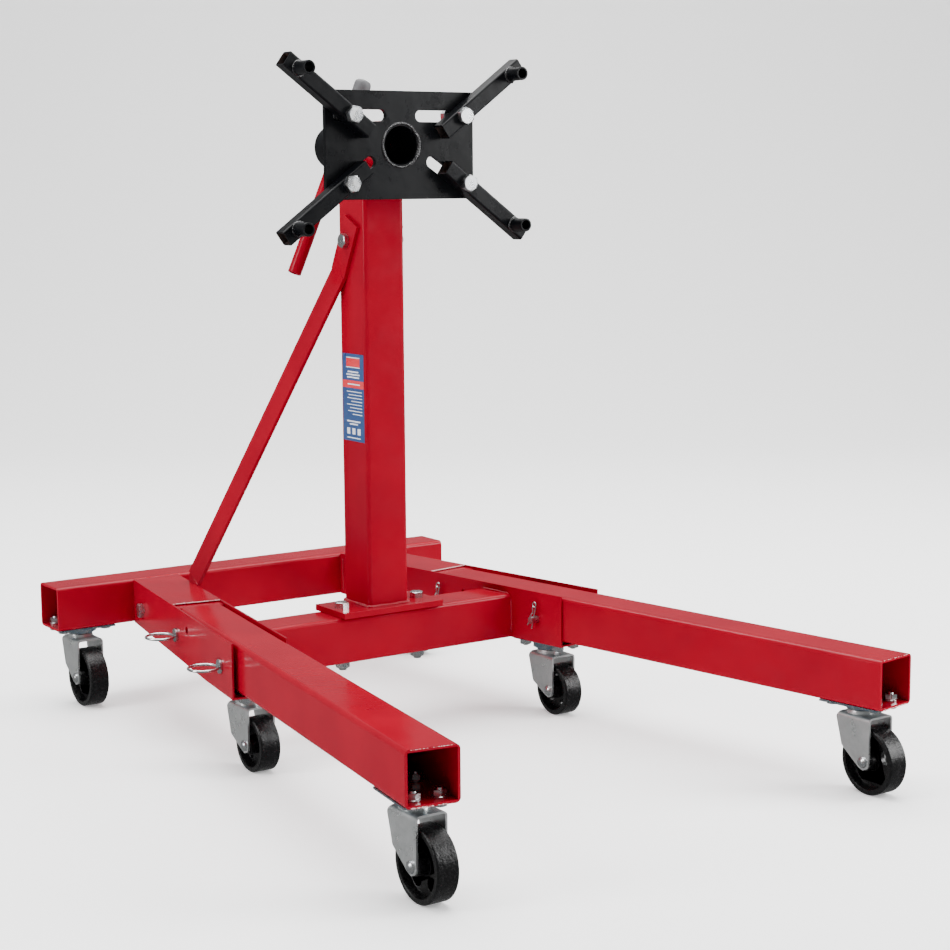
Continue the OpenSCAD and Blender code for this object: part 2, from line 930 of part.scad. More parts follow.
module sleeve_bottom_right() {
  arm_frame(LOW_BOLT, -arm_angle) sleeve();
}

module arm_bolt_top_left() {
  left() arm_bolt(TOP_BOLT);
}

module arm_bolt_top_right() {
  arm_bolt(TOP_BOLT);
}

module arm_bolt_bottom_left() {
  left() arm_bolt(LOW_BOLT);
}

module arm_bolt_bottom_right() {
  arm_bolt(LOW_BOLT);
}

// Castors -----------------------------------------------------------------

function crown_z(r) = 2 * r + CROWN_ABOVE;

// Top plate with bearing boss and kingpin; its top is at height h
module castor_plate(h, r) {
  crown = crown_z(r);
  race = crown + FORK_T + RACE_T + RACE_GAP;
  color(ZINC)
    difference() {
      union() {
        translate([-PLATE_W / 2, -PLATE_L / 2, h - PLATE_T])
          cube([PLATE_W, PLATE_L, PLATE_T]);
        translate([0, 0, race + RACE_T / 2])
          cylinder(r = BOSS_R, h = h - PLATE_T / 2 - race - RACE_T / 2);
        translate([0, 0, race])
          cylinder(r = RACE_R, h = RACE_T);
        translate([0, 0, crown - EPS])
          cylinder(r = KINGPIN_R, h = race - crown + 2 * EPS);
        translate([0, 0, crown - RACE_GAP - KINGPIN_HEAD[1]])
          cylinder(r = KINGPIN_HEAD[0], h = KINGPIN_HEAD[1]);
      }
      castor_bolt_holes(h - PLATE_T);
    }
}

module castor_fork(r) {
  top = crown_z(r) + FORK_T;
  front = -TRAIL - FORK_FRONT;
  back = FORK_REAR - FORK_CHAMFER[0];
  waist = [FORK_WAIST[0], top - FORK_WAIST[1]];
  axle = [-TRAIL, r];
  foot = tangent(waist, axle, FORK_FRONT, 1);
  color(ZINC)
    difference() {
      union() {
        for (s = [-1, 1])
          translate([s * (FORK_GAP + FORK_T) / 2, 0, 0]) {
            side_extrude(-FORK_T / 2, FORK_T / 2)
              polygon([
                [FORK_REAR, top - FORK_CHAMFER[1]], [back, top], [front, top],
                [front, r], axle, foot, waist
              ]);
            translate([0, -TRAIL, r])
              x_cylinder(FORK_FRONT, -FORK_T / 2, FORK_T / 2);
          }
        translate([-FORK_GAP / 2 - EPS, front, top - FORK_T])
          cube([FORK_GAP + 2 * EPS, back - front, FORK_T]);
        translate([0, 0, top - EPS])
          cylinder(r = RACE_R - 1, h = RACE_T + EPS);
      }
      translate([0, 0, top - FORK_T - EPS])
        cylinder(r = KINGPIN_R + RUN, h = FORK_T + RACE_T + 2 * EPS);
      translate([0, -TRAIL, r])
        x_cylinder(AXLE_R + RUN, -FORK_GAP, FORK_GAP);
    }
}

module castor_axle(r) {
  side = FORK_GAP / 2 + FORK_T;
  color(ZINC)
    translate([0, -TRAIL, r]) {
      x_cylinder(AXLE_R, -side - EPS, side + AXLE_END);
      x_cylinder(AXLE_HEAD[0], -side - AXLE_HEAD[1], -side);
      x_cylinder(AXLE_CAP[0], -side - AXLE_CAP[1], -side - EPS);
      translate([side, 0, 0])
        rotate([0, 90, 0])
          hex(M10, AXLE_NUT_T);
    }
}

module castor_wheel(r) {
  half = wheel_width / 2;
  rim = r - 8;
  hub = 15;
  edge = 2;
  slope = 3;
  web = 4;
  rib = 3.5;
  holes = 5;
  hole_at = (rim + hub) / 2;
  color(IRON)
    translate([0, -TRAIL, r])
      rotate([0, 90, 0])
        difference() {
          rotate_extrude($fn = 96)
            polygon([
              [AXLE_R + RUN, -HUB_W / 2], [hub - edge, -HUB_W / 2], [hub, -web], [rim - slope, -web],
              [rim, -half], [r - edge, -half], [r, edge - half], [r, half - edge], [r - edge, half],
              [rim, half], [rim - slope, web], [hub, web], [hub - edge, HUB_W / 2],
              [AXLE_R + RUN, HUB_W / 2]
            ]);
          for (k = [0 : holes - 1])
            rotate([0, 0, (k + 0.5) * 360 / holes])
              translate([hole_at, 0, -web - EPS])
                cylinder(r = (rim - hub) / 2 - rib, h = 2 * web + 2 * EPS);
        }
}

// Bolts through a castor plate at z = 0: heads below, nuts above, or turned over
module castor_bolts(wall, heads_up) {
  stack = PLATE_T + wall;
  castor_bolt_places()
    translate([0, 0, heads_up ? wall : -PLATE_T])
      mirror([0, 0, heads_up ? 0 : 1]) {
        bolt(M10, stack + WASHER_T + M10[3] + BOLT_TAIL / 2);
        translate([0, 0, -stack])
          flange_nut(M10);
      }
}

module at_rear_castor() {
  translate([rear_castor_x, rear_castor_y, 0])
    children();
}

module at_mid_castor() {
  translate(along(mid_castor_reach))
    children();
}

module at_leg_castor() {
  translate(along(leg_castor_reach))
    children();
}

module frame_castor_plates() {
  both_sides() {
    at_rear_castor() rotate([0, 0, 90]) castor_plate(castor_height, wheel_r);
    at_mid_castor() rotate([0, 0, splay]) castor_plate(channel_bottom, mid_wheel_r);
  }
}

module frame_castor_bolts() {
  color(ZINC)
    both_sides() {
      at_rear_castor()
        translate([0, 0, castor_height])
          rotate([0, 0, 90])
            castor_bolts(tube_wall, false);
      at_mid_castor()
        translate([0, 0, channel_bottom])
          rotate([0, 0, splay])
            castor_bolts(CHANNEL_WALL, true);
    }
}

module leg_castor_plate() {
  at_leg_castor()
    rotate([0, 0, splay])
      castor_plate(castor_height - LEG_DROP, wheel_r);
}

module leg_castor_bolts() {
  color(ZINC)
    at_leg_castor()
      translate([0, 0, castor_height - LEG_DROP])
        rotate([0, 0, splay])
          castor_bolts(tube_wall, false);
}

module left_leg_castor_plate() {
  left() leg_castor_plate();
}

module right_leg_castor_plate() {
  leg_castor_plate();
}

module left_leg_castor_bolts() {
  left() leg_castor_bolts();
}

module right_leg_castor_bolts() {
  leg_castor_bolts();
}

// Castor pieces that are the same on both sides, with the axle head at -X
module at_left(place) {
  translate([-place[0], place[1], 0])
    children();
}

module at_right(place) {
  translate([place[0], place[1], 0])
    children();
}

rear_place = [rear_castor_x, rear_castor_y];
mid_place = along(mid_castor_reach);
front_place = along(leg_castor_reach);

module rear_left_fork() { at_left(rear_place) castor_fork(wheel_r); }
module rear_right_fork() { at_right(rear_place) castor_fork(wheel_r); }
module mid_left_fork() { at_left(mid_place) castor_fork(mid_wheel_r); }
module mid_right_fork() { at_right(mid_place) castor_fork(mid_wheel_r); }
module front_left_fork() { at_left(front_place) castor_fork(wheel_r); }
module front_right_fork() { at_right(front_place) castor_fork(wheel_r); }
module rear_left_axle() { at_left(rear_place) castor_axle(wheel_r); }
module rear_right_axle() { at_right(rear_place) castor_axle(wheel_r); }
module mid_left_axle() { at_left(mid_place) castor_axle(mid_wheel_r); }
module mid_right_axle() { at_right(mid_place) castor_axle(mid_wheel_r); }
module front_left_axle() { at_left(front_place) castor_axle(wheel_r); }
module front_right_axle() { at_right(front_place) castor_axle(wheel_r); }
module rear_left_wheel() { at_left(rear_place) castor_wheel(wheel_r); }
module rear_right_wheel() { at_right(rear_place) castor_wheel(wheel_r); }
module mid_left_wheel() { at_left(mid_place) castor_wheel(mid_wheel_r); }
module mid_right_wheel() { at_right(mid_place) castor_wheel(mid_wheel_r); }
module front_left_wheel() { at_left(front_place) castor_wheel(wheel_r); }
module front_right_wheel() { at_right(front_place) castor_wheel(wheel_r); }

rear_cross_tube();
left_side_channel();
right_side_channel();
front_cross_tube();
post_tube();
post_base_plate();
head_housing();
left_brace();
right_brace();
base_bolts();
base_nuts();
brace_bolts();
brace_nuts();
pivot_pins();
lock_pins();
pin_clips();
frame_castor_plates();
frame_castor_bolts();
head_plate();
head_tube();
head_collar();
index_pin();
handle_bar();
handle_grip();
arm_top_left();
arm_top_right();
arm_bottom_left();
arm_bottom_right();
sleeve_top_left();
sleeve_top_right();
sleeve_bottom_left();
sleeve_bottom_right();
arm_bolt_top_left();
arm_bolt_top_right();
arm_bolt_bottom_left();
arm_bolt_bottom_right();
left_leg_tube();
right_leg_tube();
left_leg_castor_plate();
right_leg_castor_plate();
left_leg_castor_bolts();
right_leg_castor_bolts();
rear_left_fork();
rear_right_fork();
mid_left_fork();
mid_right_fork();
front_left_fork();
front_right_fork();
rear_left_axle();
rear_right_axle();
mid_left_axle();
mid_right_axle();
front_left_axle();
front_right_axle();
rear_left_wheel();
rear_right_wheel();
mid_left_wheel();
mid_right_wheel();
front_left_wheel();
front_right_wheel();
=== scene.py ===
"""Looks of the folding engine stand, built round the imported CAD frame. Row frame, metres."""

import math
import random

import bpy
from mathutils import Matrix, Vector
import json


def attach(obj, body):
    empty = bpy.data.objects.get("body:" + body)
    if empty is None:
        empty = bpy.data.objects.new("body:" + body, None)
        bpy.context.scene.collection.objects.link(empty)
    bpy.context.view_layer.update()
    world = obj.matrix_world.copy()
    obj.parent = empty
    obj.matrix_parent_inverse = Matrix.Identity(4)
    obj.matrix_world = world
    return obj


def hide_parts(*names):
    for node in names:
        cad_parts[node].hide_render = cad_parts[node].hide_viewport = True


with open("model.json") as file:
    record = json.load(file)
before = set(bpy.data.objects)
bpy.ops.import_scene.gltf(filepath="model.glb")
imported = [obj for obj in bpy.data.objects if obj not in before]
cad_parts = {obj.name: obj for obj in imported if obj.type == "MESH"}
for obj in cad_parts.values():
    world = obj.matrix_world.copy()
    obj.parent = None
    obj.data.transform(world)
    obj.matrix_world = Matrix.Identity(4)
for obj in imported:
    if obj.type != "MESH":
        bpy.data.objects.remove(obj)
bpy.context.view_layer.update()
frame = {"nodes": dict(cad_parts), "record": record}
random.seed(7)

# ---- Sizes, as in the CAD -------------------------------------------------

SPLAY = math.radians(9.2)
GAUGE = 0.208
TUBE = 0.075
LEG_BOTTOM = 0.136
LEG_DROP = 0.003
LEG_REACH = 1.189
TOP = LEG_BOTTOM + TUBE
WHEEL_R = 0.050
MID_R = 0.0425
TRAIL = 0.028
FRONT_CASTOR = 1.130
MID_CASTOR = 0.492
REAR_CASTOR_X = 0.335
FACE_Y = (FRONT_CASTOR * math.cos(SPLAY) + TRAIL + WHEEL_R - TUBE) / 2
CHANNEL_HALF = TUBE / 2 + 0.004
FLARE = 0.006
CHANNEL_LEN = 0.560
CHANNEL_BOTTOM = TOP - 0.086
PIN_Z = TOP - 0.046
PIN_REACHES = (0.266, 0.503)
CUT_EDGE = 0.240
FRONT_TUBE_Y = FACE_Y - 0.444
FRONT_TUBE_TOP = TOP - 0.012
POST_FRONT = FACE_Y - 0.437
BASE_PLATE = 0.010
POST_FOOT = FRONT_TUBE_TOP + BASE_PLATE
POST_HALF = 0.0375
POST_DEPTH = 0.080
HEAD_Z = 0.945
PLATE_FRONT = FACE_Y - 0.490
PLATE_BACK = PLATE_FRONT + 0.008
HOUSING_FRONT = PLATE_BACK + 0.004
HOUSING_BACK = HOUSING_FRONT + 0.140
HOUSING_R = 0.039
BASE_BOLT_X = 0.072
BASE_BOLT_Y = FRONT_TUBE_Y + TUBE / 2
BRACE = 0.006
BRACE_Y = POST_FRONT + 0.047
BRACE_Z = 0.797
BRACE_REACH = 0.063
ARM_FRONT = PLATE_FRONT - 0.0253
ARM = 0.025
ARM_BORE = 0.0105
ARM_REACH = 0.113
ARM_ANGLE = math.radians(36)
SLEEVE_R = 0.0105
BOSS_R = 0.013
TOP_BOLT = (0.101, 0.045)
LOW_BOLT = (0.107, -0.0589)

# Fasteners: radius, across flats, head height, nut height, washer radius
M10 = (0.005, 0.017, 0.0045, 0.008, 0.010)
M14 = (0.007, 0.021, 0.009, 0.012, 0.014)
M16 = (0.008, 0.024, 0.010, 0.013, 0.015)
WASHER = 0.0025
TUBE_WALL = 0.004
CHANNEL_WALL = 0.003
CASTOR_PLATE = 0.003
AXLE_R = 0.005
CLIP_EYE = 0.0042

SIDES = (("left", -1), ("right", 1))


def along(reach, off=0.0, z=0.0, side=1):
    """Point at reach along a side channel's centre line, off outwards from it."""
    x = GAUGE + reach * math.sin(SPLAY) + off * math.cos(SPLAY)
    y = FACE_Y - reach * math.cos(SPLAY) + off * math.sin(SPLAY)
    return Vector((side * x, y, z))


def around(count):
    """count even angles round a full turn."""
    return [2 * math.pi * k / count for k in range(count)]


def leg_matrix(side):
    m = Matrix.Translation((GAUGE, FACE_Y, 0)) @ Matrix.Rotation(SPLAY, 4, "Z")
    return Matrix.Diagonal((side, 1, 1, 1)) @ m


# ---- Materials ------------------------------------------------------------


class Nodes:
    """A short way to write a node tree."""

    def __init__(self, name):
        self.mat = bpy.data.materials.new(name)
        self.mat.use_nodes = True
        self.tree = self.mat.node_tree
        self.bsdf = self.tree.nodes["Principled BSDF"]
        self.coord = self.add("ShaderNodeTexCoord").outputs["Object"]

    def add(self, kind, **props):
        node = self.tree.nodes.new(kind)
        for k, v in props.items():
            setattr(node, k, v)
        return node

    def link(self, a, b):
        self.tree.links.new(a, b)

    def feed(self, socket, value):
        if isinstance(value, bpy.types.NodeSocket):
            self.link(value, socket)
        else:
            socket.default_value = value

    def set(self, **inputs):
        for k, v in inputs.items():
            self.feed(self.bsdf.inputs[k.replace("_", " ")], v)

    def noise(self, scale, detail=3.0, rough=0.5):
        node = self.add("ShaderNodeTexNoise")
        node.inputs["Scale"].default_value = scale
        node.inputs["Detail"].default_value = detail
        node.inputs["Roughness"].default_value = rough
        self.link(self.coord, node.inputs["Vector"])
        return node.outputs["Fac"]

    def ramp(self, value, low, high, a=0.0, b=1.0):
        node = self.add("ShaderNodeMapRange")
        self.link(value, node.inputs["Value"])
        node.inputs["From Min"].default_value = low
        node.inputs["From Max"].default_value = high
        node.inputs["To Min"].default_value = a
        node.inputs["To Max"].default_value = b
        return node.outputs["Result"]

    def mix(self, fac, a, b):
        node = self.add("ShaderNodeMix", data_type="RGBA")
        self.feed(node.inputs["Factor"], fac)
        self.feed(node.inputs[6], a)
        self.feed(node.inputs[7], b)
        return node.outputs[2]

    def bump(self, *layers):
        """Layers are (height, distance) pairs, laid over each other."""
        normal = None
        for height, distance in layers:
            node = self.add("ShaderNodeBump")
            node.inputs["Strength"].default_value = 1.0
            node.inputs["Distance"].default_value = distance
            self.link(height, node.inputs["Height"])
            if normal:
                self.link(normal, node.inputs["Normal"])
            normal = node.outputs["Normal"]
        self.link(normal, self.bsdf.inputs["Normal"])


def paint(name, light, dark, rough, peel, sheen):
    n = Nodes(name)
    tone = n.ramp(n.noise(9.0, 2.0), 0.35, 0.65)
    n.set(
        Base_Color=n.mix(tone, light, dark),
        Roughness=n.ramp(n.noise(30.0, 5.0, 0.65), 0.3, 0.7, rough - 0.05, rough + 0.09),
        Specular_IOR_Level=sheen,
    )
    waves = ((26.0, 6.0), (150.0, 1.0), (900.0, 0.12))
    n.bump(*[(n.noise(scale, 2.0), peel * depth) for scale, depth in waves])
    return n


def speckled(name, base, fleck, rough, scale, low, high, bumps, metallic=0.0, sheen=0.5):
    n = Nodes(name)
    mask = n.ramp(n.noise(scale, 6.0, 0.7), low, high)
    n.set(
        Base_Color=n.mix(mask, base, fleck),
        Metallic=metallic,
        Specular_IOR_Level=sheen,
        Roughness=n.ramp(n.noise(scale * 0.6, 5.0, 0.7), 0.3, 0.7, rough - 0.1, rough + 0.15),
    )
    n.bump(*[(n.noise(s, 4.0, 0.6), d) for s, d in bumps])
    return n


RED = paint("red paint", (0.235, 0.0, 0.010, 1), (0.205, 0.0, 0.009, 1), 0.15, 0.00005, 0.13).mat
BLACK = paint("black paint", (0.002, 0.0023, 0.003, 1), (0.004, 0.0043, 0.005, 1), 0.28, 0.00007, 0.12).mat
RED_WELD = paint("red weld", (0.25, 0.0, 0.010, 1), (0.20, 0.0, 0.008, 1), 0.20, 0.0002, 0.25).mat
# The grey flecks on the black weld are painted glints.
BLACK_WELD = speckled(
    "black weld with painted glints", (0.004, 0.004, 0.005, 1), (0.12, 0.11, 0.12, 1), 0.12, 300.0, 0.62, 0.68,
    [(420.0, 0.0014)], sheen=0.9
).mat
# Pale pink with red flecks, laid along edges: worn paint, and a painted highlight along those edges.
EDGE_WEAR_AND_HIGHLIGHT = speckled(
    "edge wear and painted highlight", (0.62, 0.42, 0.42, 1), (0.50, 0.02, 0.03, 1), 0.35, 300.0, 0.5, 0.62, [(600.0, 0.0002)]
).mat
ZINC = speckled(
    "zinc fasteners", (0.52, 0.55, 0.59, 1), (0.60, 0.60, 0.58, 1), 0.24, 90.0, 0.35, 0.65,
    [(700.0, 0.00005)], 1.0
).mat
FORK = speckled(
    "zinc castor", (0.58, 0.60, 0.60, 1), (0.68, 0.69, 0.69, 1), 0.32, 55.0, 0.35, 0.65,
    [(60.0, 0.0004), (1100.0, 0.00003)], 0.9
).mat
BLUE_ZINC = speckled(
    "blue zinc", (0.20, 0.30, 0.40, 1), (0.42, 0.46, 0.48, 1), 0.24, 90.0, 0.38, 0.6, [(500.0, 0.0001)], 1.0
).mat
WHEEL = speckled(
    "painted cast iron", (0.002, 0.002, 0.0022, 1), (0.007, 0.0065, 0.007, 1), 0.26, 210.0, 0.52, 0.7,
    [(170.0, 0.0006), (650.0, 0.0003)], sheen=0.4
).mat
TREAD = speckled(
    "worn tread", (0.003, 0.003, 0.0033, 1), (0.022, 0.021, 0.022, 1), 0.22, 200.0, 0.54, 0.76,
    [(120.0, 0.0008), (420.0, 0.0006)], sheen=0.25
).mat
RUST = speckled(
    "rusty inside", (0.006, 0.004, 0.004, 1), (0.04, 0.014, 0.008, 1), 0.6, 90.0, 0.42, 0.62,
    [(400.0, 0.0004)]
).mat
RUBBER = speckled(
    "grey rubber", (0.075, 0.075, 0.08, 1), (0.10, 0.10, 0.105, 1), 0.55, 120.0, 0.4, 0.7, [(900.0, 0.0001)]
).mat
LABEL_INKS = [
    speckled(name, base, fleck, rough, 60.0, 0.4, 0.6, [(90.0, 0.0001)]).mat
    for name, base, fleck, rough in (
        ("blue label", (0.018, 0.055, 0.16, 1), (0.020, 0.060, 0.17, 1), 0.35),
        ("red label", (0.55, 0.02, 0.03, 1), (0.52, 0.02, 0.03, 1), 0.35),
        ("pale label", (0.62, 0.66, 0.72, 1), (0.58, 0.62, 0.68, 1), 0.4),
    )
]


# ---- Mesh building --------------------------------------------------------


class Piece:
    """Collects geometry in the row frame and makes one object of it."""

    def __init__(self):
        self.verts, self.faces, self.mats = [], [], []

    def add(self, verts, faces, matrix=Matrix.Identity(4), mat=0):
        base = len(self.verts)
        flip = matrix.determinant() < 0
        self.verts += [matrix @ Vector(v) for v in verts]
        for f in faces:
            f = tuple(base + i for i in f)
            self.faces.append(f[::-1] if flip else f)
            self.mats.append(mat)

    def lathe(self, profile, matrix=Matrix.Identity(4), mat=0, seg=48):
        """Profile of (radius, height) points, turned about Z.

        Radius 0 closes an end. A profile that starts where it ends is a ring.
        """
        verts, faces = [], []
        rings = []
        closed = profile[0] == profile[-1]
        points = profile[:-1] if closed else profile
        for r, z in points:
            if r == 0:
                rings.append([len(verts)] * seg)
                verts.append((0, 0, z))
            else:
                rings.append(list(range(len(verts), len(verts) + seg)))
                verts += [(r * math.cos(a), r * math.sin(a), z) for a in around(seg)]
        pairs = list(zip(rings, rings[1:])) + ([(rings[-1], rings[0])] if closed else [])
        for lo, hi in pairs:
            for k in range(seg):
                m = (k + 1) % seg
                f = list(dict.fromkeys((lo[k], lo[m], hi[m], hi[k])))
                if len(f) > 2:
                    faces.append(tuple(f))
        self.add(verts, faces, matrix, mat)

    def hexagon(self, flats, height, matrix, both=False):
        """Hexagon from Z = 0 to height, with its top corners (or both ends' corners) turned off."""
        seg = 48
        crown = 0.47 * flats
        ring = []
        for k in range(seg):
            a = 2 * math.pi * k / seg
            r = flats / 2 / math.cos((a + math.pi / 6) % (math.pi / 3) - math.pi / 6)
            ring.append((a, r, max(0.0, r - crown) * 0.5))
        rows = []
        if both:
            rows += [[(crown, a, 0.0) for a, r, c in ring], [(r, a, c) for a, r, c in ring]]
        else:
            rows += [[(r, a, 0.0) for a, r, c in ring]]
        rows += [[(r, a, height - c) for a, r, c in ring], [(crown, a, height) for a, r, c in ring]]
        verts = [(r * math.cos(a), r * math.sin(a), z) for row in rows for r, a, z in row]
        faces = []
        for j in range(len(rows) - 1):
            for k in range(seg):
                m = (k + 1) % seg
                faces.append((j * seg + k, j * seg + m, (j + 1) * seg + m, (j + 1) * seg + k))
        faces.append(tuple(range(seg))[::-1])
        faces.append(tuple((len(rows) - 1) * seg + k for k in range(seg)))
        self.add(verts, faces, matrix)

    def sweep(self, points, radius, matrix=Matrix.Identity(4), closed=False, seg=10):
        """A round wire along points. radius is a number or one for each point."""
        n = len(points)
        points = [Vector(p) for p in points]
        radii = radius if isinstance(radius, list) else [radius] * n
        verts, faces = [], []
        side = None
        for i, p in enumerate(points):
            a = points[(i - 1) % n] if closed or i else p
            b = points[(i + 1) % n] if closed or i < n - 1 else p
            t = (b - a).normalized()
            if not side:
                side = Vector((0, 0, 1)) if abs(t.z) < 0.9 else Vector((1, 0, 0))
            v = t.cross(side).normalized()
            w = v.cross(t).normalized()
            side = w
            for k in range(seg):
                q = 2 * math.pi * k / seg
                verts.append(p + radii[i] * (math.cos(q) * v + math.sin(q) * w))
        for i in range(n if closed else n - 1):
            j = (i + 1) % n
            for k in range(seg):
                m = (k + 1) % seg
                faces.append((i * seg + k, i * seg + m, j * seg + m, j * seg + k))
        if not closed:
            faces.append(tuple(range(seg))[::-1])
            faces.append(tuple((n - 1) * seg + k for k in range(seg)))
        self.add(verts, faces, matrix)

    def block(self, lo, hi, mat=0):
        v = [(x, y, z) for x in (lo[0], hi[0]) for y in (lo[1], hi[1]) for z in (lo[2], hi[2])]
        f = [(0, 1, 3, 2), (4, 6, 7, 5), (0, 4, 5, 1), (2, 3, 7, 6), (0, 2, 6, 4), (1, 5, 7, 3)]
        self.add(v, f, mat=mat)

    def done(self, name, body, materials, nodes=(), angle=35, slot=None):
        name = name.replace(" ", "_")
        mesh = bpy.data.meshes.new(name)
        mesh.from_pydata([tuple(v) for v in self.verts], [], self.faces)
        for m in materials:
            mesh.materials.append(m)
        mesh.polygons.foreach_set("material_index", self.mats)
        mesh.polygons.foreach_set("use_smooth", [True] * len(self.faces))
        mesh.update()
        mesh.set_sharp_from_angle(angle=math.radians(angle))
        obj = bpy.data.objects.new(name, mesh)
        bpy.context.scene.collection.objects.link(obj)
        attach(obj, body)
        if nodes:
            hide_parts(*nodes)
        return obj


BODY_OF = {n: b for b, ns in frame["record"]["behaviour"]["bodies"].items() for n in ns}


def eased(node, material, width, pick=None, extra=()):
    """A copy of a CAD node with its edges rounded. pick(face centre, normal) gives a material index."""
    import bmesh

    mesh = frame["nodes"][node].data.copy()
    mesh.materials.clear()
    for m in (material,) + tuple(extra):
        mesh.materials.append(m)
    bm = bmesh.new()
    bm.from_mesh(mesh)
    bmesh.ops.remove_doubles(bm, verts=bm.verts, dist=1e-6)
    bmesh.ops.dissolve_limit(bm, angle_limit=math.radians(0.4), verts=bm.verts, edges=bm.edges)
    for f in bm.faces:
        f.smooth = True
        f.material_index = pick(f.calc_center_median(), f.normal) if pick else 0
    bm.to_mesh(mesh)
    bm.free()
    obj = bpy.data.objects.new(node + "_eased", mesh)
    bpy.context.scene.collection.objects.link(obj)
    if width:
        bevel = obj.modifiers.new("ease", "BEVEL")
        bevel.width = width
        bevel.segments = 2
        bevel.limit_method = "ANGLE"
        bevel.angle_limit = math.radians(32)
        bevel.use_clamp_overlap = True
        weigh = obj.modifiers.new("weigh", "WEIGHTED_NORMAL")
        weigh.weight = 100
        weigh.keep_sharp = True
        bpy.context.view_layer.update()
        solved = obj.evaluated_get(bpy.context.evaluated_depsgraph_get())
        finished = bpy.data.meshes.new_from_object(solved)
        obj.modifiers.clear()
        obj.data = finished
    else:
        obj.data.set_sharp_from_angle(angle=math.radians(38))
    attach(obj, BODY_OF[node])
    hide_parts(node)
    return obj


# ---- Eased copies of the sheet, tube and bar pieces ------------------------

for node in (
    "rear_cross_tube", "left_side_channel", "right_side_channel", "front_cross_tube", "post_tube",
    "post_base_plate", "left_brace", "right_brace", "left_leg_tube", "right_leg_tube",
):
    eased(node, RED, 0.0009)
eased("head_housing", RED, 0.0012)
eased("handle_bar", RED, 0.0006)
eased("head_plate", BLACK, 0.0009)
eased("head_tube", BLACK, 0.0007)
eased("head_collar", BLACK, 0.0010)
eased("index_pin", ZINC, 0.0006)
for n in ("pivot_pins", "lock_pins"):
    eased(n, ZINC, 0.0)
for n in ("frame_castor_plates", "left_leg_castor_plate", "right_leg_castor_plate"):
    eased(n, BLUE_ZINC, 0.0008)


def place_arm(bolt, vertical, side):
    m = Matrix.Translation((bolt[0], 0, HEAD_Z + bolt[1])) @ Matrix.Rotation(-vertical * ARM_ANGLE, 4, "Y")
    return Matrix.Diagonal((side, 1, 1, 1)) @ m


ARMS = [
    (f"{row}_{name}", place_arm(bolt, vertical, side), bolt, side)
    for row, bolt, vertical in (("top", TOP_BOLT, 1), ("bottom", LOW_BOLT, -1))
    for name, side in SIDES
]

for key, matrix, bolt, side in ARMS:
    inverse = matrix.inverted()

    def inside(c, n, inverse=inverse):
        """1 for a face in the arm's bore, which looks towards its centre line."""
        p = inverse @ c
        q = inverse.to_3x3() @ n
        off = Vector((0, p.y - ARM_FRONT - ARM / 2, p.z))
        bored = abs(off.y) < ARM_BORE and abs(off.z) < ARM_BORE
        return 1 if bored and abs(q.x) < 0.5 and off.dot(q) < 0 else 0

    eased(f"arm_{key}", BLACK, 0.0005, inside, (RUST,))
    eased(f"sleeve_{key}", BLACK, 0.0006)

# ---- Fasteners --------------------------------------------------------------


def threaded(piece, radius, z0, z1, matrix):
    """Bolt end with its thread, from z0 down to z1 with a small chamfer."""
    pitch = 0.0015
    profile = [(radius * 0.99, z0)]
    z = z0
    while z - pitch > z1 + pitch:
        profile += [(radius * 0.9, z - pitch / 2), (radius * 0.99, z - pitch)]
        z -= pitch
    profile += [(radius * 0.85, z1), (0, z1)]
    piece.lathe(profile[::-1], matrix, seg=32)


def bolt_parts(piece, size, length, matrix, nut_at, turn=0.0):
    """Bolt with its head above Z = 0, and its washer and nut below nut_at."""
    r, flats, head_h, nut_h, washer_r = size
    spin = matrix @ Matrix.Rotation(turn, 4, "Z")
    piece.hexagon(flats, head_h, spin)
    piece.lathe([(0, 0), (r, 0), (r, nut_at), (0, nut_at)][::-1], matrix, seg=24)
    edge = 0.0005
    low = nut_at - WASHER
    piece.lathe(
        [
            (r, nut_at), (washer_r - edge, nut_at), (washer_r, nut_at - edge),
            (washer_r, low + edge), (washer_r - edge, low), (r, low),
        ],
        matrix,
    )
    piece.hexagon(flats, nut_h, spin @ Matrix.Translation((0, 0, low - nut_h)), both=True)
    threaded(piece, r, low - nut_h, -length, matrix)


def frame_on(origin, z_axis):
    z = Vector(z_axis).normalized()
    x = Vector((0, 0, 1)).cross(z) if abs(z.z) < 0.9 else Vector((1, 0, 0))
    x.normalize()
    y = z.cross(x)
    m = Matrix((x, y, z)).transposed().to_4x4()
    m.translation = Vector(origin)
    return m


bolts = Piece()
grip = TUBE + BASE_PLATE
for name, side in SIDES:
    bolt_parts(
        bolts, M14, grip + WASHER + M14[3] + 0.004,
        Matrix.Translation((side * BASE_BOLT_X, BASE_BOLT_Y, POST_FOOT)), -grip, turn=0.3 * side,
    )
bolts.done("base plate bolts", "base", [ZINC], ["base_bolts", "base_nuts"], angle=18, slot="zinc_fasteners")

bolts = Piece()
span = TUBE + 2 * BRACE
bolt_parts(
    bolts, M14, span + WASHER + M14[3] + 0.004,
    frame_on((-span / 2, BRACE_Y, BRACE_Z), (-1, 0, 0)), -span, turn=0.2,
)
for name, side in SIDES:
    face = CHANNEL_HALF + FLARE * BRACE_REACH / CHANNEL_LEN
    out = Vector((side * math.cos(SPLAY), math.sin(SPLAY), 0))
    grip = face + CHANNEL_HALF + BRACE
    bolt_parts(
        bolts, M14, 2 * CHANNEL_HALF + BRACE + WASHER + M14[3] + 0.004,
        frame_on(along(BRACE_REACH, face, PIN_Z + 0.002, side), out), -grip, turn=0.4,
    )
bolts.done("brace bolts", "base", [ZINC], ["brace_bolts", "brace_nuts"], angle=18, slot="zinc_fasteners")

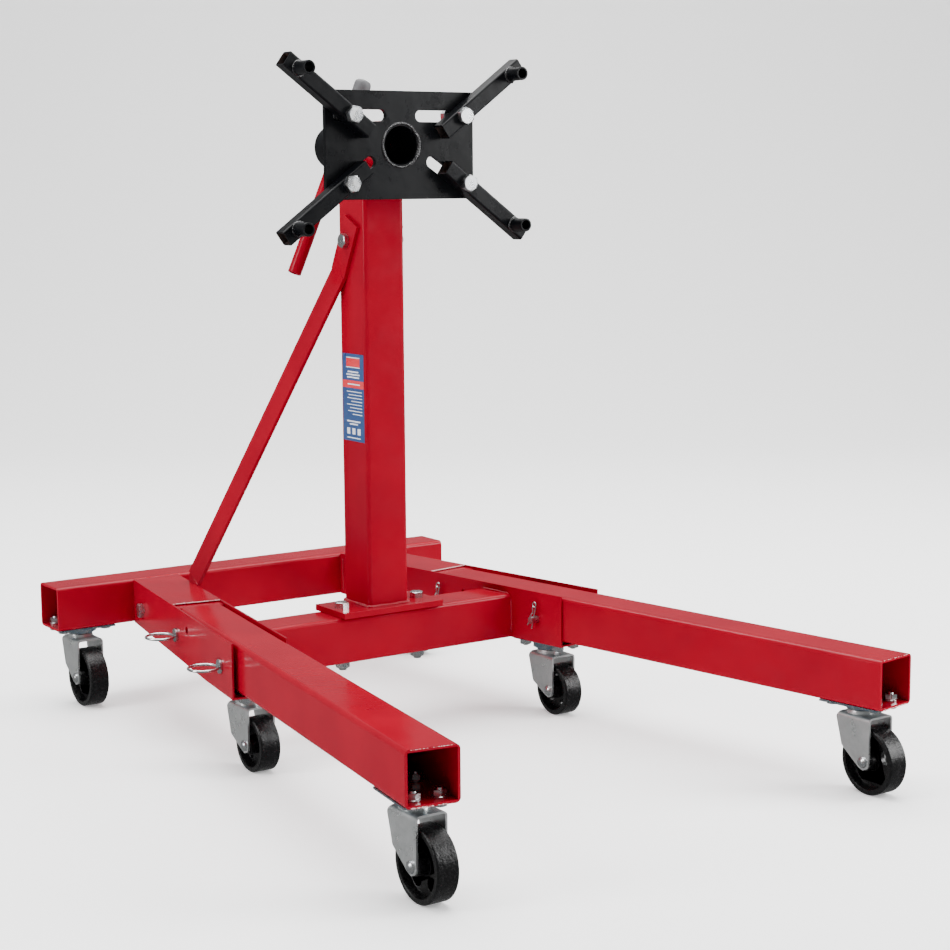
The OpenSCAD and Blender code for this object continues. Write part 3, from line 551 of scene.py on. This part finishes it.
for key, matrix, bolt, side in ARMS:
    b = Piece()
    origin = (side * bolt[0], ARM_FRONT - 0.0003, HEAD_Z + bolt[1])
    grip = PLATE_BACK + 0.0003 - origin[1]
    matrix = frame_on(origin, (0, -1, 0))
    bolt_parts(b, M16, grip + WASHER + M16[3] + 0.004, matrix, -grip, turn=random.uniform(0, 1))
    b.done(
        f"arm bolt {key}", f"arm_bolt_{key}", [ZINC], [f"arm_bolt_{key}"],
        angle=18, slot="zinc_fasteners",
    )


def castor_bolts(piece, matrix, wall, heads_up):
    """Four bolts through a castor's plate and the wall above it, heads inside or below."""
    stack = CASTOR_PLATE + wall
    for x in (-0.018, 0.018):
        for y in (-0.038, 0.038):
            flip = Matrix.Identity(4) if heads_up else Matrix.Diagonal((1, 1, -1, 1))
            m = matrix @ Matrix.Translation((x, y, wall if heads_up else -CASTOR_PLATE)) @ flip
            bolt_parts(piece, M10, stack + WASHER + M10[3] + 0.002, m, -stack, turn=random.uniform(0, 1))


CASTORS = []
for name, side in SIDES:
    rear = Vector((side * REAR_CASTOR_X, FACE_Y + TUBE / 2, 0))
    CASTORS.append((f"rear_{name}", rear, WHEEL_R))
    CASTORS.append((f"mid_{name}", along(MID_CASTOR, 0, 0, side), MID_R))
    CASTORS.append((f"front_{name}", along(FRONT_CASTOR, 0, 0, side), WHEEL_R))

piece = Piece()
for name, side in SIDES:
    turn = Matrix.Rotation(math.pi / 2, 4, "Z")
    spot = (side * REAR_CASTOR_X, FACE_Y + TUBE / 2, LEG_BOTTOM)
    castor_bolts(piece, Matrix.Translation(spot) @ turn, TUBE_WALL, False)
    spot = along(MID_CASTOR, 0, CHANNEL_BOTTOM, side)
    castor_bolts(piece, Matrix.Translation(spot) @ Matrix.Rotation(side * SPLAY, 4, "Z"), CHANNEL_WALL, True)
piece.done("frame castor bolts", "base", [ZINC], ["frame_castor_bolts"], angle=18, slot="zinc_fasteners")
for name, side in SIDES:
    piece = Piece()
    spot = along(FRONT_CASTOR, 0, LEG_BOTTOM - LEG_DROP, side)
    castor_bolts(piece, Matrix.Translation(spot) @ Matrix.Rotation(side * SPLAY, 4, "Z"), TUBE_WALL, False)
    piece.done(
        f"{name} leg castor bolts", f"{name}_leg", [ZINC], [f"{name}_leg_castor_bolts"],
        angle=18, slot="zinc_fasteners",
    )

# ---- Castors -----------------------------------------------------------------


def fork(name, spot, r):
    """Pressed fork: cheeks that roll over into the crown, straight in front and slanted behind."""
    top = 2 * r + 0.017
    half = 0.0235
    bend = 0.0065
    thick = 0.003
    front = -TRAIL - 0.012
    rear = 0.027
    waist_y, waist_z = 0.015, top - 0.050
    foot_r = 0.012
    path = []
    steps = 22
    low = r - foot_r
    for k in range(steps):
        path.append((-half, low + (top - bend - low) * k / steps, -1, 0))
    for k in range(7):
        a = math.pi / 2 * k / 6
        out, rise = math.cos(a), math.sin(a)
        path.append((-half + bend - bend * out, top - bend + bend * rise, -out, rise))
    path += [(x, top, 0, 1) for x in (-0.008, 0.0)]
    path += [(-x, z, -nx, nz) for x, z, nx, nz in reversed(path[:-1])]
    # The rear edge runs from the waist to touch the rounded foot.
    reach = waist_z - r
    d = math.hypot(waist_y + TRAIL, reach)
    lean = math.atan2(reach, waist_y + TRAIL) + math.asin(foot_r / d)
    touch = d * math.cos(math.asin(foot_r / d))
    foot_y = waist_y - touch * math.cos(lean)
    foot_z = waist_z - touch * math.sin(lean)

    def extents(z):
        """Front and rear edge of the cheek at height z."""
        a = front if z > r else -TRAIL - math.sqrt(max(0.0, foot_r ** 2 - (r - z) ** 2))
        if z > top - 0.008:
            b = rear - 0.005 * (z - top + 0.008) / 0.008
        elif z > waist_z:
            b = waist_y + (rear - waist_y) * (z - waist_z) / (top - 0.008 - waist_z)
        elif z > foot_z:
            b = waist_y + (z - waist_z) / (foot_z - waist_z) * (foot_y - waist_y)
        else:
            b = -TRAIL + math.sqrt(max(0.0, foot_r ** 2 - (r - z) ** 2))
        return a, b

    across = 9
    verts, faces = [], []
    for layer in (0, 1):
        for x, z, nx, nz in path:
            a, b = extents(z)
            for k in range(across):
                y = a + (b - a) * k / (across - 1)
                verts.append((x - layer * thick * nx, y, z - layer * thick * nz))
    n = len(path)
    off = n * across
    for i in range(n - 1):
        for k in range(across - 1):
            lo, hi = i * across + k, (i + 1) * across + k
            q = (lo, hi, hi + 1, lo + 1)
            faces.append(q[::-1])
            faces.append(tuple(off + v for v in q))
    edge = [i * across for i in range(n)] + [(n - 1) * across + k for k in range(1, across)]
    edge += [i * across + across - 1 for i in range(n - 2, -1, -1)] + list(range(across - 2, 0, -1))
    for a, b in zip(edge, edge[1:] + edge[:1]):
        faces.append((a, b, off + b, off + a)[::-1])
    piece = Piece()
    at = Matrix.Translation(spot)
    piece.add(verts, faces, at)
    ease = 0.0012
    race = top + 0.0058
    piece.lathe(
        [
            (0.0081, top - 0.001), (0.0081, race), (0.018, race), (0.020 - ease, race - ease * 0.4),
            (0.020, race - ease), (0.0208, top + 0.001), (0.0208, top - 0.001),
        ][::-1],
        at,
    )
    piece.done(f"{name} fork", f"{name}_castor", [FORK], [f"{name}_fork"], slot="zinc_castor")
    axle = Piece()
    head = frame_on(spot + Vector((-half, -TRAIL, r)), (-1, 0, 0))
    dome = [
        (0, 0.005), (0.003, 0.0048), (0.0055, 0.0038), (0.0062, 0.003),
        (0.0078, 0.0026), (0.0085, 0.0012), (0.0085, 0.0), (0, 0.0),
    ]
    axle.lathe(dome[::-1], head, seg=40)
    axle.lathe([(0, -2 * half), (AXLE_R, -2 * half), (AXLE_R, 0), (0, 0)], head, seg=32)
    nut = frame_on(spot + Vector((half, -TRAIL, r)), (1, 0, 0))
    axle.hexagon(0.017, 0.007, nut)
    tip = [(0, 0.009), (0.0042, 0.009), (AXLE_R, 0.0082), (AXLE_R, 0.0), (0, 0.0)]
    axle.lathe(tip[::-1], nut, seg=32)
    axle.done(f"{name} axle", f"{name}_castor", [ZINC], [f"{name}_axle"], slot="zinc_fasteners")


def wheel(name, spot, r):
    """The CAD wheel with its tread worn, and the mould line round the middle of the tread."""
    centre = spot + Vector((0, -TRAIL, r))

    def tread(c, n):
        return 1 if math.hypot(c.y - centre.y, c.z - centre.z) > r - 0.0025 else 0

    eased(f"{name}_wheel", WHEEL, 0.0007, tread, (TREAD,))
    ridge = Piece()
    line_r = r - 0.0006
    pts, radii = [], []
    for a in around(96):
        x = centre.x + random.uniform(-0.0003, 0.0003)
        pts.append((x, centre.y + line_r * math.cos(a), centre.z + line_r * math.sin(a)))
        radii.append(random.uniform(0.0003, 0.0006))
    ridge.sweep(pts, radii, closed=True, seg=6)
    ridge.done(f"{name} mould line", f"{name}_wheel", [TREAD], slot="cast_iron")


for name, spot, r in CASTORS:
    fork(name, spot, r)
    wheel(name, spot, r)

# ---- R clips ------------------------------------------------------------------


def smooth_path(points, per=8):
    """Catmull-Rom curve through points."""
    pts = [Vector(p) for p in points]
    pts = [pts[0] * 2 - pts[1]] + pts + [pts[-1] * 2 - pts[-2]]
    out = []
    for i in range(1, len(pts) - 2):
        for k in range(per):
            t = k / per
            a, b, c, d = pts[i - 1], pts[i], pts[i + 1], pts[i + 2]
            square = (2 * a - 5 * b + 4 * c - d) * t ** 2
            cube = (3 * b - a - 3 * c + d) * t ** 3
            out.append(0.5 * (2 * b + (c - a) * t + square + cube))
    out.append(pts[-2])
    return out


clips = Piece()
for name, side in SIDES:
    for reach in PIN_REACHES:
        m = (
            leg_matrix(side)
            @ Matrix.Translation((-CHANNEL_HALF - 0.008, -reach, PIN_Z))
            @ Matrix.Rotation(math.radians(14), 4, "X")
        )
        wire = [(0, 0, -0.016), (0, 0, 0), (0, 0, 0.016), (0, -0.0004, 0.024)]
        for k in range(9):
            a = math.radians(200 - 40 * k)
            y, z = 0.0036 + CLIP_EYE * math.cos(a), 0.026 + CLIP_EYE * math.sin(a)
            wire.append((0.0007 * (k - 4) / 4, y, z))
        wire += [(0, 0.0066, 0.020), (0, 0.0044, 0.0135), (0, 0.0072, 0.005)]
        wire += [(0, 0.0086, 0), (0, 0.0080, -0.005), (0, 0.0104, -0.0135)]
        clips.sweep(smooth_path(wire, 5), 0.00115, m, seg=10)
clips.done("R clips", "base", [ZINC], ["pin_clips"], slot="zinc_fasteners")

# ---- Grip ----------------------------------------------------------------------

tilt = math.radians(24)
handle_y = HOUSING_BACK + 0.034
grip = Piece()
m = Matrix.Translation((0, handle_y, HEAD_Z)) @ Matrix.Rotation(tilt, 4, "Y")
foot, top = 0.038, 0.118
grip.lathe(
    [
        (0.0111, foot), (0.0134, foot), (0.014, foot + 0.0008), (0.014, foot + 0.008), (0.0136, foot + 0.009),
        (0.0136, top - 0.016), (0.014, top - 0.015), (0.014, top - 0.008), (0.0134, top - 0.0045),
        (0.0115, top - 0.0018), (0.008, top - 0.0004), (0, top),
    ],
    m, seg=64,
)
grip.done("handle grip", "handle", [RUBBER], ["handle_grip"], slot="grip_rubber")

# ---- Welds -----------------------------------------------------------------------


def bead(points, radius, body, material, slot, name, closed=False, ripple=0.0022, rough=0.12):
    """A weld bead along a line: overlapping puddles with uneven edges."""
    pts = [Vector(p) for p in points]
    if closed:
        pts.append(pts[0])
    line, dist = [], 0.0
    step = ripple / 5
    for a, b in zip(pts, pts[1:]):
        length = (b - a).length
        count = max(1, round(length / step))
        for k in range(count):
            line.append((a.lerp(b, k / count), dist + length * k / count))
        dist += length
    if not closed:
        line.append((pts[-1], dist))
    path, radii = [], []
    wander = random.uniform(0, 6)
    for p, s in line:
        phase = (s / ripple) % 1
        swell = 0.82 + 0.18 * math.sin(math.pi * phase)
        drift = 1 + rough * math.sin(s / 0.011 + wander)
        drift += 0.5 * rough * math.sin(s / 0.0047 + 2 * wander)
        end = 1.0 if closed else min(1.0, 0.35 + min(s, dist - s) / (2 * radius))
        radii.append(radius * swell * drift * end)
        path.append(p)
    piece = Piece()
    piece.sweep(path, radii, closed=closed, seg=10)
    return piece.done(name, body, [material], angle=60, slot=slot)


def arc(centre, radius, y, a0, a1, count):
    """Points of an arc in the plane at y, from angle a0 to a1."""
    return [
        (centre[0] + radius * math.cos(a), y, centre[1] + radius * math.sin(a))
        for a in (a0 + (a1 - a0) * k / (count - 1) for k in range(count))
    ]


def inner_reach(y):
    """Reach at which a side channel's inner wall crosses y."""
    return (FACE_Y - y - CHANNEL_HALF * math.sin(SPLAY)) / math.cos(SPLAY)


ON_FRAME = ("base", RED_WELD, "red_paint")
ON_HEAD = ("head", BLACK_WELD, "black_paint")

for name, side in SIDES:
    for off in (-CHANNEL_HALF, CHANNEL_HALF):
        bead(
            [along(0.001, off, LEG_BOTTOM + 0.006, side), along(0.001, off, TOP - 0.007, side)],
            0.0028, *ON_FRAME, f"{name} channel weld",
        )
    reaches = (-CHANNEL_HALF + 0.003, CHANNEL_HALF - 0.003)
    seam = [along(off * math.tan(SPLAY), off, TOP - 0.0007, side) for off in reaches]
    bead(seam, 0.0012, *ON_FRAME, f"{name} channel top weld")
    for y in (FRONT_TUBE_Y, FRONT_TUBE_Y + TUBE):
        heights = (FRONT_TUBE_TOP - TUBE + 0.008, FRONT_TUBE_TOP - 0.008)
        line = [along(inner_reach(y), -CHANNEL_HALF, z, side) for z in heights]
        bead(line, 0.003, *ON_FRAME, f"{name} cross tube weld")
    ends = (FRONT_TUBE_Y + 0.006, FRONT_TUBE_Y + TUBE - 0.006)
    line = [along(inner_reach(y), -CHANNEL_HALF, FRONT_TUBE_TOP, side) for y in ends]
    bead(line, 0.0028, *ON_FRAME, f"{name} cross tube top weld")
    # A pale line on the channel's cut edge: worn paint with a painted highlight.
    cut = [along(CUT_EDGE, off, TOP - 0.0006, side) for off in (-CHANNEL_HALF + 0.002, CHANNEL_HALF)]
    edge = Piece()
    edge.sweep(cut, 0.0008, seg=8)
    edge.done(f"{name} worn cut edge", "base", [EDGE_WEAR_AND_HIGHLIGHT], slot="red_paint")
    # Pale marks along the leg end's bottom and top lips: worn paint with a painted highlight.
    lip_wear_and_highlight = Piece()
    lips = (
        (LEG_BOTTOM - LEG_DROP + 0.0008, (0.0002, 0.0005, 0.0009, 0.0012)),
        (TOP - LEG_DROP - 0.0008, (0.0001, 0.0003, 0.0006)),
    )
    for z, sizes in lips:
        lip = [along(LEG_REACH - 0.0002, 0.0015 * k, z, side) for k in range(-20, 21)]
        lip_wear_and_highlight.sweep(lip, [random.choice(sizes) for p in lip], seg=8)
    lip_wear_and_highlight.done(f"{name} worn leg lip", f"{name}_leg", [EDGE_WEAR_AND_HIGHLIGHT], slot="red_paint")

inset = 0.005
ring = []
corners = (
    (-1, inset, math.pi),
    (1, inset, 1.5 * math.pi),
    (1, POST_DEPTH - inset, 0.0),
    (-1, POST_DEPTH - inset, 0.5 * math.pi),
)
for side, back, start in corners:
    cx = side * (POST_HALF - inset)
    cy = POST_FRONT + back
    for k in range(5):
        a = start + math.pi / 2 * k / 4
        ring.append((cx + inset * math.cos(a), cy + inset * math.sin(a), POST_FOOT + 0.0004))
bead(ring, 0.0032, *ON_FRAME, "post foot weld", closed=True)

saddle_z = HEAD_Z - math.sqrt(HOUSING_R ** 2 - POST_HALF ** 2)
for side in (-1, 1):
    line = [(side * POST_HALF, POST_FRONT + d, saddle_z) for d in (0.003, POST_DEPTH - 0.003)]
    bead(line, 0.003, *ON_FRAME, "housing side weld")
spread = math.asin(0.034 / HOUSING_R)
for y in (POST_FRONT, POST_FRONT + POST_DEPTH):
    line = arc((0, HEAD_Z), HOUSING_R, y, -math.pi / 2 - spread, -math.pi / 2 + spread, 24)
    bead(line, 0.0026, *ON_FRAME, "housing saddle weld")
index_y = (HOUSING_FRONT + HOUSING_BACK) / 2
ring = []
for a in around(40):
    across, up = BOSS_R * math.cos(a), BOSS_R * math.sin(a)
    ring.append((math.sqrt(HOUSING_R ** 2 - up ** 2) + 0.0005, index_y + across, HEAD_Z + up))
bead(ring, 0.002, *ON_FRAME, "index boss weld", closed=True)

ring = arc((0, HEAD_Z), 0.0335, PLATE_FRONT + 0.0004, 0, 2 * math.pi, 73)[:-1]
bead(ring, 0.0022, *ON_HEAD, "plate weld", True, 0.003, 0.3)
heap = arc((0, HEAD_Z), 0.0325, PLATE_FRONT - 0.0002, -1.25, 0.95, 30)
bead(heap, 0.0032, *ON_HEAD, "plate weld build-up", False, 0.004, 0.35)
ring = arc((0, HEAD_Z), 0.0352, HOUSING_BACK + 0.0152, 0, 2 * math.pi, 61)[:-1]
bead(ring, 0.002, *ON_HEAD, "collar weld", True)


def round_sleeve(matrix, radius, angles):
    """Points round a sleeve where it meets its arm."""
    return [
        matrix @ Vector((ARM_REACH + radius * math.cos(a), ARM_FRONT, radius * math.sin(a)))
        for a in angles
    ]


heap_angles = [math.pi * (0.62 + 0.8 * k / 12) for k in range(13)]
for key, matrix, bolt, side in ARMS:
    on_arm = (f"arm_{key}", BLACK_WELD, "black_paint")
    ring = round_sleeve(matrix, SLEEVE_R + 0.0002, around(40))
    bead(ring, 0.0017, *on_arm, f"{key} sleeve weld", True, 0.003, 0.25)
    heap = round_sleeve(matrix, SLEEVE_R + 0.001, heap_angles)
    bead(heap, 0.0026, *on_arm, f"{key} sleeve weld build-up", False, 0.0035, 0.35)

# ---- Label -------------------------------------------------------------------------

label = Piece()
y0, y1, z0, z1 = POST_FRONT + 0.0075, POST_FRONT + POST_DEPTH - 0.0075, 0.476, 0.617


def patch(a, b, c, d, lift, mat):
    """A printed patch from y = a to b and z = c to d, standing lift off the post."""
    label.block((-POST_HALF - lift, a, c), (-POST_HALF + 0.0004, b, d), mat=mat)


patch(y0, y1, z0, z1, 0.0003, 0)
patch(y0, y1, 0.562, 0.574, 0.0004, 1)
patch(y0 + 0.012, y1 - 0.012, 0.596, 0.610, 0.0004, 1)
patch(y0 + 0.012, y1 - 0.012, 0.5945, 0.5958, 0.00045, 2)
patch(y0 + 0.012, y1 - 0.012, 0.6102, 0.6115, 0.00045, 2)
for z, cut in ((0.588, 0.016), (0.5835, 0.012), (0.579, 0.014)):
    patch(y0 + cut, y1 - cut, z - 0.0011, z + 0.0011, 0.00045, 2)
patch(y0 + 0.012, y1 - 0.016, 0.567, 0.569, 0.0005, 2)
for k, cut in enumerate((0.006, 0.012, 0.008, 0.020, 0.007, 0.016, 0.010, 0.024)):
    z = 0.556 - 0.0052 * k
    patch(y0 + 0.006, y1 - 0.006 - cut, z - 0.0006, z + 0.0006, 0.00045, 2)
for z, cut in ((0.508, 0.012), (0.5035, 0.020)):
    patch(y0 + cut, y1 - cut, z - 0.0011, z + 0.0011, 0.00045, 2)
for k in range(3):
    c = y0 + (y1 - y0) * (0.25 + 0.25 * k)
    patch(c - 0.0045, c + 0.0045, 0.487, 0.497, 0.00045, 2)
patch(y0 + 0.012, y1 - 0.012, 0.4805, 0.482, 0.00045, 2)
label.done("label", "base", LABEL_INKS, slot="red_paint")

# ---- Stage ---------------------------------------------------------------------------

floor = Nodes("floor")
floor.set(Base_Color=(0.93, 0.93, 0.93, 1), Roughness=0.9, Emission_Color=(1, 1, 1, 1), Emission_Strength=0.3)


def backdrop(width, front, back, radius, height):
    """Floor that rises in a smooth curve behind the object, square to the camera's view."""
    line = [(front, 0.0), (back, 0.0)]
    for k in range(1, 25):
        a = math.pi / 2 * k / 24
        line.append((back + radius * math.sin(a), radius - radius * math.cos(a)))
    line.append((back + radius, height))
    verts = [(x, y, z) for y, z in line for x in (-width, width)]
    faces = [(2 * k, 2 * k + 1, 2 * k + 3, 2 * k + 2) for k in range(len(line) - 1)]
    mesh = bpy.data.meshes.new("floor")
    mesh.from_pydata(verts, [], faces)
    mesh.polygons.foreach_set("use_smooth", [True] * len(faces))
    mesh.materials.append(floor.mat)
    obj = bpy.data.objects.new("floor", mesh)
    bpy.context.scene.collection.objects.link(obj)
    obj.rotation_euler.z = -math.radians(34)
    obj.visible_glossy = False
    return obj


backdrop(20, -12, 3.5, 3.0, 12)

world = bpy.data.worlds.new("studio")
bpy.context.scene.world = world
world.use_nodes = True
world.node_tree.nodes["Background"].inputs["Color"].default_value = (1, 1, 1, 1)
world.node_tree.nodes["Background"].inputs["Strength"].default_value = 0.28


def lamp(name, place, target, size, power):
    data = bpy.data.lights.new(name, "AREA")
    data.shape = "RECTANGLE"
    data.size, data.size_y = size
    data.energy = power
    obj = bpy.data.objects.new(name, data)
    bpy.context.scene.collection.objects.link(obj)
    obj.location = place
    obj.rotation_euler = (Vector(target) - Vector(place)).to_track_quat("-Z", "Y").to_euler()
    return obj


lamp("top_softbox", (0.4, 0.6, 4.2), (0, 0.3, 0.2), (5.0, 5.0), 620)
lamp("right_softbox", (3.2, -2.6, 2.0), (0, 0, 0.5), (1.8, 2.6), 260)
lamp("left_strip", (-3.4, 0.4, 1.8), (0, 0, 0.5), (1.2, 2.4), 110)

# ---- Camera ----------------------------------------------------------------------------

YAW, PITCH, ROLL = math.radians(34.34), math.radians(-8.43), math.radians(-0.42)
ahead = Vector((math.sin(YAW) * math.cos(PITCH), math.cos(YAW) * math.cos(PITCH), math.sin(PITCH)))
right = Vector((math.cos(YAW), -math.sin(YAW), 0))
up = right.cross(ahead)
right, up = right * math.cos(ROLL) + up * math.sin(ROLL), up * math.cos(ROLL) - right * math.sin(ROLL)
cam = bpy.data.cameras.new("camera")
cam.lens = 76.3
cam.shift_x = -0.0007
cam.shift_y = 0.0076
camera = bpy.data.objects.new("camera", cam)
bpy.context.scene.collection.objects.link(camera)
place = Matrix((right, up, -ahead)).transposed().to_4x4()
place.translation = Vector((-1.693, -2.607, 0.885))
camera.matrix_world = place
bpy.context.scene.camera = camera
